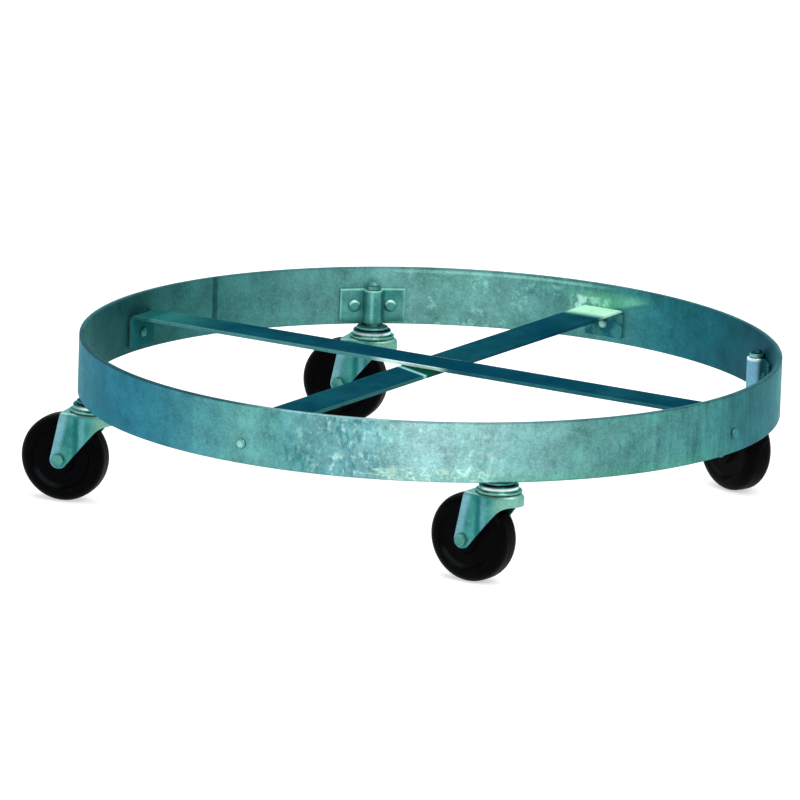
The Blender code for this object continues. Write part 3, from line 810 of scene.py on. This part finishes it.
def build_materials():
    looks = {name: head_material(f"{name}_look", *tones) for name, tones in HEADS.items()}
    looks.update({name: zinc_material(f"{name}_look", *tones) for name, tones in PLATED.items()})
    looks.update({
        "band": band_material(),
        "brace_upper": upper_brace_material(),
        "brace_lower": lower_brace_material(),
        "strap": strap_material(),
        "lit_strap": lit_strap_material(),
        "fork": fork_material(),
        "raceway": raceway_material(),
        "wheel": wheel_material(),
    })
    return looks


# --- pieces -------------------------------------------------------------------------

def piece(node, mesh, material, body, place):
    """Shows a mesh for the CAD node it stands for, and rides it on the node's body.

    The mesh keeps its own coordinates as an attribute, which the materials read, and is
    then moved into place.
    """
    name = f"{node}_skin"
    mesh = mesh.copy()
    mesh.name = name
    own = [value for vert in mesh.vertices for value in vert.co]
    mesh.attributes.new("local", "FLOAT_VECTOR", "POINT").data.foreach_set("vector", own)
    mesh.transform(place)
    obj = shown(name, mesh)
    mesh.materials.append(material)
    mesh.polygons.foreach_set("use_smooth", [True] * len(mesh.polygons))
    normals = obj.modifiers.new("normals", "WEIGHTED_NORMAL")
    normals.keep_sharp = True
    bpy.context.view_layer.update()
    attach(obj, body)
    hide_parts(node)


def turn(angle_deg, axis="Z"):
    return Matrix.Rotation(math.radians(angle_deg), 4, axis)


def radial(angle_deg, radius, z):
    """Lays an object's own Z axis along the hoop's radius, pointing outwards."""
    return turn(angle_deg) @ Matrix.Translation((radius, 0.0, z)) @ turn(90.0, "Y")


def hoop_mesh():
    """The rolled strip with eased edges. Its ends meet in a shallow seam on the inner face."""
    steps = 360
    angles = [SEAM_DEG + 1.0 + 358.0 * i / steps for i in range(steps + 1)]
    angles += [SEAM_DEG + 360.0 + offset for offset in (-0.36, -0.18, 0.0, 0.18, 0.36)]
    normals = [toward(angle_deg) for angle_deg in angles]
    middle = UP * ((RIM_Z + BAND_BOTTOM_Z) / 2)
    path = [normal * (HOOP_INNER_R + BAND_THICK / 2) + middle for normal in normals]
    section = rounded_rect(BAND_THICK / 2, (RIM_Z - BAND_BOTTOM_Z) / 2, 0.9 * MM, 2.5 * MM)
    mesh = sweep(path, normals, UP, section, closed=True)
    outward = toward(SEAM_DEG)
    along = toward(SEAM_DEG + 90.0)
    for vert in mesh.vertices:
        inside = vert.co.xy.length < HOOP_INNER_R + 1.5 * MM
        if inside and vert.co.dot(outward) > 0 and abs(vert.co.dot(along)) < SEAM_HALF_WIDTH:
            vert.co += outward * SEAM_DEPTH
    return mesh


def brace_mesh(top_z):
    corner_r = HOOP_INNER_R - FIT
    tab_x = math.sqrt(corner_r ** 2 - (BRACE_WIDTH / 2) ** 2) - BRACE_THICK / 2
    mid_z = top_z - BRACE_THICK / 2
    bend = arc((tab_x - BRACE_BEND_R, mid_z - BRACE_BEND_R), BRACE_BEND_R, 0.0, 90.0, 8)
    half = [(tab_x, TAB_BOTTOM_Z)] + bend
    flat = half + [(-x, z) for x, z in reversed(half)]
    path = spaced([Vector((x, 0.0, z)) for x, z in flat], 12 * MM)
    section = rounded_rect(BRACE_THICK / 2, BRACE_WIDTH / 2, 0.7 * MM, 2.0 * MM)
    across = Vector((0.0, 1.0, 0.0))
    return sweep(path, path_normals(path, across), across, section, cap_r=0.6 * MM)


def bent_strip(flat, low, high, sheet, ease, border, cap_r):
    """A strip on edge between two heights, bent along its middle line."""
    path = [Vector((x, y, (low + high) / 2)) for x, y in flat]
    section = rounded_rect(sheet / 2, (high - low) / 2, ease, border)
    return sweep(path, path_normals(path, UP), UP, section, cap_r=cap_r)


def socket_mesh(stem_r):
    bulge_r = SOCKET_BORE_R + SOCKET_SHEET / 2
    wing_r = HOOP_INNER_R - FIT - SOCKET_SHEET / 2
    side = bulge_r + SOCKET_BEND_R
    wing_x = math.sqrt(wing_r ** 2 - side ** 2) - stem_r
    start_deg = math.degrees(math.asin(SOCKET_HALF_WIDTH / wing_r))
    end_deg = math.degrees(math.asin(side / wing_r))
    wing = arc((-stem_r, 0.0), wing_r, start_deg, end_deg, 6)
    bend = arc((wing_x - SOCKET_BEND_R, side), SOCKET_BEND_R, 0.0, -90.0, 6)
    bulge = arc((0.0, 0.0), bulge_r, 90.0, 180.0, 14)
    return bent_strip(both_sides(wing + bend[1:] + bulge), SOCKET_BOTTOM_Z, SOCKET_TOP_Z,
                      SOCKET_SHEET, 0.6 * MM, 1.6 * MM, 0.5 * MM)


def dome(radius, rise, z, sign):
    """Profile of a rivet's head from its rim to its crown. It rises from z towards sign."""
    points = []
    for k in range(9):
        angle = math.pi / 2 * k / 8
        points.append((radius * math.cos(angle) ** 0.8, z + sign * rise * math.sin(angle)))
    points[-1] = (0.0, z + sign * rise)
    return points


def rivet_mesh(grip, head_r, rise, flush):
    """A headed rivet along Z, its first head below zero. Its far end is flush or headed."""
    head = dome(head_r, rise, 0.0, -1.0)
    tail = filleted([(0.0, grip), (RIVET_R, grip), (RIVET_R, 0.0)], (0, 0.4 * MM, 0))
    if not flush:
        tail = list(reversed(dome(BRACE_HEAD_R, BRACE_HEAD_RISE, grip, 1.0)))
        tail += [(RIVET_R, grip), (RIVET_R, 0.0)]
    return turned(tail + head, 40)


def stem_mesh():
    groove_low = GRIP_RING_LOW_Z - FIT
    groove_high = GRIP_RING_HIGH_Z + FIT
    shoulder_z = RACEWAY_TOP_Z + FIT
    head_top = CROWN_TOP_Z - FORK_SHEET - FIT
    points = [
        (0.0, STEM_TOP_Z),
        (0.78 * STEM_R, STEM_TOP_Z),
        (0.95 * STEM_R, groove_high + 0.8 * MM),
        (0.95 * STEM_R, groove_high),
        (GROOVE_R, groove_high),
        (GROOVE_R, groove_low),
        (STEM_R, groove_low),
        (STEM_R, shoulder_z),
        (STEM_NECK_R, shoulder_z),
        (STEM_NECK_R, head_top),
        (STEM_HEAD_R, head_top),
        (0.8 * STEM_HEAD_R, head_top - 0.8 * STEM_HEAD_THICK),
        (0.0, head_top - STEM_HEAD_THICK),
    ]
    radii = [0, 0.9 * MM, 0.5 * MM, 0.15 * MM, 0, 0, 0.2 * MM, 0.2 * MM, 0, 0, 0.5 * MM, 1.2 * MM, 0]
    return turned(filleted(points, radii), 48)


def grip_ring_mesh():
    inner_r = GROOVE_R + FIT
    half_gap = GRIP_RING_GAP_DEG / 2
    flat = arc((0.0, 0.0), (inner_r + GRIP_RING_OUTER_R) / 2, half_gap, 360.0 - half_gap, 40)
    return bent_strip(flat, GRIP_RING_LOW_Z, GRIP_RING_HIGH_Z, GRIP_RING_OUTER_R - inner_r,
                      0.3 * MM, 0.6 * MM, 0.2 * MM)


def tube_mesh(outer_r, inner_r, low, high, ease, steps):
    points = [(outer_r, high), (outer_r, low), (inner_r, low), (inner_r, high)]
    return turned(filleted(points, [ease] * 4, closed=True), steps, closed=True)


def washer_mesh():
    return tube_mesh(WASHER_R, STEM_R + FIT, WASHER_TOP_Z - WASHER_THICK, WASHER_TOP_Z,
                     0.5 * MM, 64)


def raceway_mesh():
    ceiling = RACEWAY_TOP_Z - RACEWAY_SHEET
    inner_r = STEM_NECK_R + FIT
    points = [
        (RACEWAY_TOP_R, RACEWAY_TOP_Z),
        (RACEWAY_TOP_R + 0.6 * MM, RACEWAY_STEP_Z),
        (RACEWAY_RIM_R, RACEWAY_STEP_Z - 0.8 * MM),
        (RACEWAY_RIM_R, RACEWAY_RIM_Z),
        (RACEWAY_RIM_R - RACEWAY_SHEET, RACEWAY_RIM_Z),
        (BALL_CIRCLE_R + BALL_R + FIT, ceiling),
        (inner_r, ceiling),
        (inner_r, RACEWAY_TOP_Z),
    ]
    radii = [1.4 * MM, 0.8 * MM, 1.0 * MM, 0.5 * MM, 0.5 * MM, 0.8 * MM, 0.2 * MM, 0.3 * MM]
    return turned(filleted(points, radii, 5, closed=True), 72, closed=True)


def balls_mesh():
    work = bmesh.new()
    for k in range(BALLS):
        angle = 2 * math.pi * k / BALLS
        center = (BALL_CIRCLE_R * math.cos(angle), BALL_CIRCLE_R * math.sin(angle),
                  CROWN_TOP_Z + BALL_R + FIT)
        bmesh.ops.create_icosphere(work, subdivisions=3, radius=BALL_R,
                                   matrix=Matrix.Translation(center))
    mesh = bpy.data.meshes.new("balls")
    work.to_mesh(mesh)
    work.free()
    return mesh


def wheel_mesh():
    """A moulded wheel: rounded tread with a fine parting line, dished sides, raised hub."""
    shoulder = (WHEEL_R - SHOULDER_R, WHEEL_HALF_WIDTH - SHOULDER_R)
    dish = WHEEL_HALF_WIDTH - DISH_DEPTH
    rim = [(RIM_INNER_R, WHEEL_HALF_WIDTH), (RIM_INNER_R - DISH_DEPTH, dish)]
    hub = [(HUB_R + DISH_DEPTH, dish), (HUB_R, HUB_HALF_WIDTH), (WHEEL_BORE_R, HUB_HALF_WIDTH)]
    parting = [(WHEEL_R, 0.0), (WHEEL_R, 0.25 * MM), (WHEEL_R - 0.15 * MM, 0.45 * MM)]
    tread = arc(shoulder, SHOULDER_R - 0.15 * MM, 0.0, 90.0, 14)
    side = filleted([tread[-1]] + rim + hub + [(WHEEL_BORE_R, 0.0)],
                    [0, 0.8 * MM, 1.2 * MM, 2.0 * MM, 1.2 * MM, 0.6 * MM, 0])
    half = parting + tread[:-1] + side
    other = [(r, -z) for r, z in reversed(half[1:-1])]
    return turned(half + other, 96, closed=True)


def bushing_mesh():
    half = FORK_HALF_WIDTH - FORK_SHEET - FIT
    return tube_mesh(BUSHING_R, BUSHING_BORE_R, -half, half, 0.3 * MM, 40)


def hexagon_rings(low, high, low_drop):
    """Rings up a bolt head or nut. A drop slopes the corners down, or up where it is negative."""
    flat_r = FLAT_SHARE * BOLT_HEAD_R
    chamfer_r = CHAMFER_SHARE * flat_r
    rings = []
    for limit, z, drop in ((chamfer_r, low, 0.0), (BOLT_HEAD_R, low, low_drop),
                           (BOLT_HEAD_R, high, 1.0), (chamfer_r, high, 0.0)):
        ring = []
        for k in range(RING_STEPS):
            angle = math.radians(360 / RING_STEPS * k)
            edge = flat_r / math.cos((angle % math.radians(60)) - math.radians(30))
            radius = min(limit, edge)
            slope = drop * math.tan(math.radians(30))
            ring.append((radius * math.cos(angle), radius * math.sin(angle),
                         z - slope * max(0.0, edge - CHAMFER_START * flat_r)))
        rings.append(ring)
    return rings


def round_rings(profile):
    """A ring for each (radius, z) of a profile."""
    return [[tuple(toward(360 / RING_STEPS * k) * radius + UP * z) for k in range(RING_STEPS)]
            for radius, z in profile]


def bolt_mesh():
    """Hexagon head above the leg with a dished crown, plain shank, and a threaded end."""
    seat = FORK_HALF_WIDTH + FIT
    top = seat + BOLT_HEAD_THICK
    tip = -(seat + NUT_THICK + BOLT_TIP_PROUD)
    thread = []
    z = tip + 0.8 * MM
    while z < -seat + 1.0 * MM:
        thread += [(BOLT_R, z), (BOLT_R - 0.35 * MM, z + 0.4 * MM)]
        z += 0.8 * MM
    shank = [(BOLT_R, seat)] + thread[::-1] + [(BOLT_R - 0.8 * MM, tip)]
    crown = [(0.45 * BOLT_HEAD_R, top - 0.5 * MM), (0.6 * BOLT_HEAD_R, top)]
    head = hexagon_rings(seat, top, 0.0)
    return skin(round_rings(crown) + head[::-1] + round_rings(shank), False)


def nut_mesh():
    half = NUT_THICK / 2
    bore_r = BOLT_R + FIT
    bore = [(bore_r + 0.5 * MM, half), (bore_r, half - 0.5 * MM),
            (bore_r, 0.5 * MM - half), (bore_r + 0.5 * MM, -half)]
    return skin(hexagon_rings(-half, half, -1.0) + round_rings(bore), True)


# --- fork: a rounded blank, trimmed, hollowed and drilled, then pressed -----------------

def prism(outline, low, high):
    """An outline in XY between two heights."""
    return shown("prism", skin([[(x, y, z) for x, y in outline] for z in (low, high)], False))


def fork_plan(half_width, front, rear):
    nose = arc((0.0, 0.0), 1.0, 90.0, 180.0, 20)
    rounded = [(SKIRT_START + x * (front + SKIRT_START), y * half_width) for x, y in nose]
    return both_sides([(rear, half_width)] + rounded)


def fork_side():
    slope = math.radians(LEG_SLOPE_DEG)
    top = CROWN_TOP_Z + CLEAR
    lip_z = CROWN_TOP_Z - SKIRT_DROP
    leg_end = arc((WHEEL_TRAIL, AXLE_Z), LEG_END_R, REAR_LEAN_DEG, -90.0 - LEG_SLOPE_DEG, 18)
    rear_x, rear_z = leg_end[0]
    front_x, front_z = leg_end[-1]
    corner_x = front_x - (lip_z - front_z) / math.tan(slope)
    reach = SKIRT_FILLET_R * math.tan(slope / 2)
    center = (corner_x - reach, lip_z - SKIRT_FILLET_R)
    fillet = arc(center, SKIRT_FILLET_R, 90.0 - LEG_SLOPE_DEG, 90.0, 10)
    top_x = rear_x - (top - rear_z) * math.tan(math.radians(REAR_LEAN_DEG))
    nose_x = -CROWN_FRONT - CLEAR
    return [(top_x, top)] + leg_end + fillet + [(nose_x, lip_z), (nose_x, top)]


def bevelled(obj, width):
    bevel = obj.modifiers.new("rounding", "BEVEL")
    bevel.width = width
    bevel.segments = 5
    bevel.limit_method = "ANGLE"
    bevel.angle_limit = math.radians(60)
    return shown("bevelled", evaluated(obj))


def cut(obj, tool, operation):
    boolean = obj.modifiers.new(operation.lower(), "BOOLEAN")
    boolean.operation = operation
    boolean.object = tool
    boolean.solver = "EXACT"
    return tool


def fork_mesh():
    low = CROWN_TOP_Z - FORK_BLANK
    blank = bevelled(prism(fork_plan(FORK_HALF_WIDTH, CROWN_FRONT, FORK_BLANK), low, CROWN_TOP_Z),
                     CROWN_BEND_R)
    inner = fork_plan(FORK_HALF_WIDTH - FORK_SHEET, CROWN_FRONT - FORK_SHEET, FORK_BLANK + CLEAR)
    hollow = bevelled(prism(inner, low - CLEAR, CROWN_TOP_Z - FORK_SHEET), CROWN_BEND_R - FORK_SHEET)
    stem_hole = prism(hole((0.0, 0.0), STEM_NECK_R + FIT), CROWN_TOP_Z - CLEAR, CROWN_TOP_Z + CLEAR)
    side, axle_hole = (prism(outline, -2 * CLEAR, 2 * CLEAR)
                       for outline in (fork_side(), hole((WHEEL_TRAIL, AXLE_Z), BOLT_R + FIT)))
    for tool in (side, axle_hole):
        tool.rotation_euler = (math.radians(90), 0.0, 0.0)
    tools = [cut(blank, side, "INTERSECT")]
    for tool in (hollow, stem_hole, axle_hole):
        tools.append(cut(blank, tool, "DIFFERENCE"))
    remesh = blank.modifiers.new("remesh", "REMESH")
    remesh.mode = "VOXEL"
    remesh.voxel_size = 0.55 * MM
    smooth = blank.modifiers.new("smooth", "SMOOTH")
    smooth.factor = 0.5
    smooth.iterations = 4
    mesh = evaluated(blank)
    for tool in tools:
        bpy.data.objects.remove(tool, do_unlink=True)
    for vert in mesh.vertices:
        press(vert.co)
    return mesh


def press(point):
    """The pressed crease down each leg, where the flat leg turns into the round skirt."""
    if abs(point.y) < 0.5 * FORK_HALF_WIDTH:
        return
    across = math.exp(-((point.x - CREASE_X) / CREASE_WIDTH) ** 2)
    down = min(1.0, max(0.0, (CROWN_TOP_Z - 3.0 * MM - point.z) / (4.0 * MM)))
    point.y -= math.copysign(CREASE_DEPTH * across * down, point.y)


# --- assembly -----------------------------------------------------------------------

def add_hoop(looks):
    piece("hoop_band", hoop_mesh(), looks["band"], "frame", UPRIGHT)


def add_braces(looks):
    tab_face = math.sqrt((HOOP_INNER_R - FIT) ** 2 - (BRACE_WIDTH / 2) ** 2)
    seat_r = tab_face - BRACE_THICK - FIT
    rivet = rivet_mesh(HOOP_OUTER_R + FIT - seat_r, BRACE_HEAD_R, BRACE_HEAD_RISE, False)
    for name, (angle_deg, top_z) in BRACES.items():
        piece(name, brace_mesh(top_z), looks[name], "frame", turn(angle_deg))
        for side, extra in (("a", 0.0), ("b", 180.0)):
            piece(f"{name}_rivet_{side}", rivet, looks[f"{name}_rivet"], "frame",
                  radial(angle_deg + extra, seat_r, TAB_RIVET_Z))


def caster_look(looks, name, label):
    """The right socket's strap is a lit copy with painted light, and its rivets and stem are shaded
    copies with painted shade.
    """
    return looks[RIGHT_LOOKS.get(name, name) if label == "right" else name]


def add_socket(label, stem, mesh, rivet, looks):
    angle_deg = math.degrees(math.atan2(stem.y, stem.x))
    place = Matrix.Translation((stem.x, stem.y, 0.0)) @ turn(angle_deg)
    piece(f"socket_{label}", mesh, caster_look(looks, "strap", label), "frame",
          place)
    face_r = HOOP_INNER_R - FIT - SOCKET_SHEET
    offset_deg = math.degrees(math.asin(SOCKET_RIVET_OFFSET / face_r))
    for side, extra in (("a", -offset_deg), ("b", offset_deg)):
        piece(f"socket_rivet_{label}_{side}", rivet, caster_look(looks, "socket_rivet", label),
              "frame", radial(angle_deg + extra, face_r - FIT, SOCKET_RIVET_Z))


def caster_meshes():
    """Each piece's mesh in the caster's own frame, with its look, body, slot and placing."""
    on_axle = Matrix.Translation((WHEEL_TRAIL, 0.0, AXLE_Z)) @ turn(-90.0, "X")
    nut_place = on_axle @ Matrix.Translation((0.0, 0.0, -FORK_HALF_WIDTH - FIT - NUT_THICK / 2))
    return (
        ("stem", stem_mesh(), "stem", "frame", "zinc_plate", UPRIGHT),
        ("grip_ring", grip_ring_mesh(), "bare_steel", "frame", "spring_steel", UPRIGHT),
        ("thrust_washer", washer_mesh(), "plate", "frame", "zinc_plate", UPRIGHT),
        ("raceway", raceway_mesh(), "raceway", "frame", "zinc_plate", UPRIGHT),
        ("ball_ring", balls_mesh(), "bare_steel", "swivel", "spring_steel", UPRIGHT),
        ("fork", fork_mesh(), "fork", "swivel", "zinc_plate", UPRIGHT),
        ("axle_bolt", bolt_mesh(), "bolt", "swivel", "zinc_plate", on_axle),
        ("axle_nut", nut_mesh(), "plate", "swivel", "zinc_plate", nut_place),
        ("bushing", bushing_mesh(), "bare_steel", "swivel", "spring_steel", on_axle),
        ("wheel", wheel_mesh(), "wheel", "wheel", "black_wheel", on_axle),
    )


def add_casters(looks):
    joints = {joint["name"]: joint for joint in frame["joints"]}
    stems = {label: Vector(joints[f"swivel_{label}_turn"]["pos_m"]) for label in CASTERS}
    meshes = caster_meshes()
    grip = HOOP_OUTER_R - (HOOP_INNER_R - FIT - SOCKET_SHEET)
    rivet = rivet_mesh(grip, SOCKET_HEAD_R, SOCKET_HEAD_RISE, True)
    socket = socket_mesh(stems["right"].xy.length)
    for label, stem in stems.items():
        add_socket(label, stem, socket, rivet, looks)
        axle = joints[f"wheel_{label}_spin"]["axis"]
        trail_deg = math.degrees(math.atan2(-axle[0], axle[1]))
        place = Matrix.Translation((stem.x, stem.y, 0.0)) @ turn(trail_deg)
        for name, mesh, look, body, slot, local in meshes:
            rides = "frame" if body == "frame" else f"{body}_{label}"
            piece(f"{name}_{label}", mesh, caster_look(looks, look, label), rides,
                  place @ local)


# --- floor, light and camera ----------------------------------------------------------

def add_floor():
    """A plain pale floor under the wheels."""
    half = 40.0
    z = AXLE_Z - WHEEL_R
    corners = [(-half, -half, z), (half, -half, z), (half, half, z), (-half, half, z)]
    floor = shown("floor", mesh_from(corners, [(0, 1, 2, 3)]))
    shade = Shade("floor_look")
    grain = shade.spread(shade.noise(3.0, 2.0), 0.3, 0.7)
    color = shade.mix(grain, (0.60, 0.60, 0.60, 1.0), (0.62, 0.62, 0.62, 1.0))
    shade.set(shade.shader.inputs["Emission Color"], (1.0, 1.0, 1.0, 1.0))
    shade.set(shade.shader.inputs["Emission Strength"], 0.55)
    floor.data.materials.append(shade.finish(color, 0.9, 0.0, specular=0.0))


def add_light(name, position, size, power):
    data = bpy.data.lights.new(name, "AREA")
    data.shape = "DISK"
    data.size = size
    data.energy = power
    light = shown(name, data)
    light.location = position
    light.rotation_euler = (-Vector(position)).to_track_quat("-Z", "Y").to_euler()


def add_lights():
    world = bpy.data.worlds.new("studio")
    bpy.context.scene.world = world
    world.use_nodes = True
    background = world.node_tree.nodes["Background"]
    background.inputs["Color"].default_value = (1.0, 1.0, 1.0, 1.0)
    background.inputs["Strength"].default_value = 0.85
    add_light("key", (0.6, -2.6, 2.6), 2.2, 60.0)
    add_light("top", (-0.4, 0.6, 3.2), 2.6, 40.0)


def add_camera():
    """The photograph's viewpoint: far off, low, and a little to the left."""
    azimuth = math.radians(11.6)
    rise = math.radians(12.89)
    distance = 9.5
    middle = Vector((0.0, 0.0, (RIM_Z + BAND_BOTTOM_Z) / 2))
    away = Vector((-math.sin(azimuth) * math.cos(rise), -math.cos(azimuth) * math.cos(rise),
                   math.sin(rise)))
    data = bpy.data.cameras.new("camera")
    data.sensor_width = 36.0
    data.lens = 485.4
    data.shift_x = -0.0374
    data.shift_y = -0.03584
    data.clip_end = 200.0
    camera = shown("camera", data)
    camera.location = middle + away * distance
    tilt = Quaternion(UP, math.radians(2.05))
    camera.rotation_mode = "QUATERNION"
    camera.rotation_quaternion = (-away).to_track_quat("-Z", "Y") @ tilt
    bpy.context.scene.camera = camera


def build():
    bpy.context.scene.view_settings.view_transform = "Standard"
    looks = build_materials()
    add_hoop(looks)
    add_braces(looks)
    add_casters(looks)
    add_floor()
    add_lights()
    add_camera()


build()
